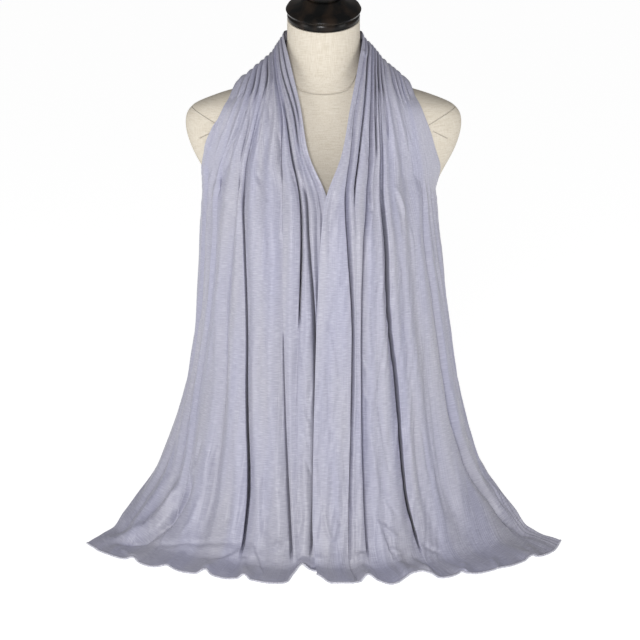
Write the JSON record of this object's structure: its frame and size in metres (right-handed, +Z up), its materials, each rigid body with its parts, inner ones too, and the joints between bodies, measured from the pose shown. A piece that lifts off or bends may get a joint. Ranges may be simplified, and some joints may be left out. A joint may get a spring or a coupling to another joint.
{
  "type": "hijab headscarf on dress form",
  "caption": "A long rectangular jersey headscarf hung round the neck of a limbless dress form, both gathered ends falling side by side to a spread hem on the table.",
  "frame": {"origin": "middle of the dress form's flat base, on the surface it stands on", "axes": "+Z up along the form, -Y towards the front where the two ends hang, +X to the viewer's right"},
  "size_m": [0.6622, 0.3586, 0.8142],
  "materials": {
    "jersey": "fine jersey knit with a soft satin sheen and faint cross slubs",
    "form_linen": "plain linen weave stretched over a hard torso",
    "black_wood": "turned wood with glossy black lacquer, brown on its worn edges"
  },
  "bodies": {
    "root": {"scarf_end_left": "jersey", "scarf_end_right": "jersey", "scarf_nape": "jersey", "form_torso": "form_linen", "neck_cap": "black_wood", "finial": "black_wood"}
  },
  "joints": []
}
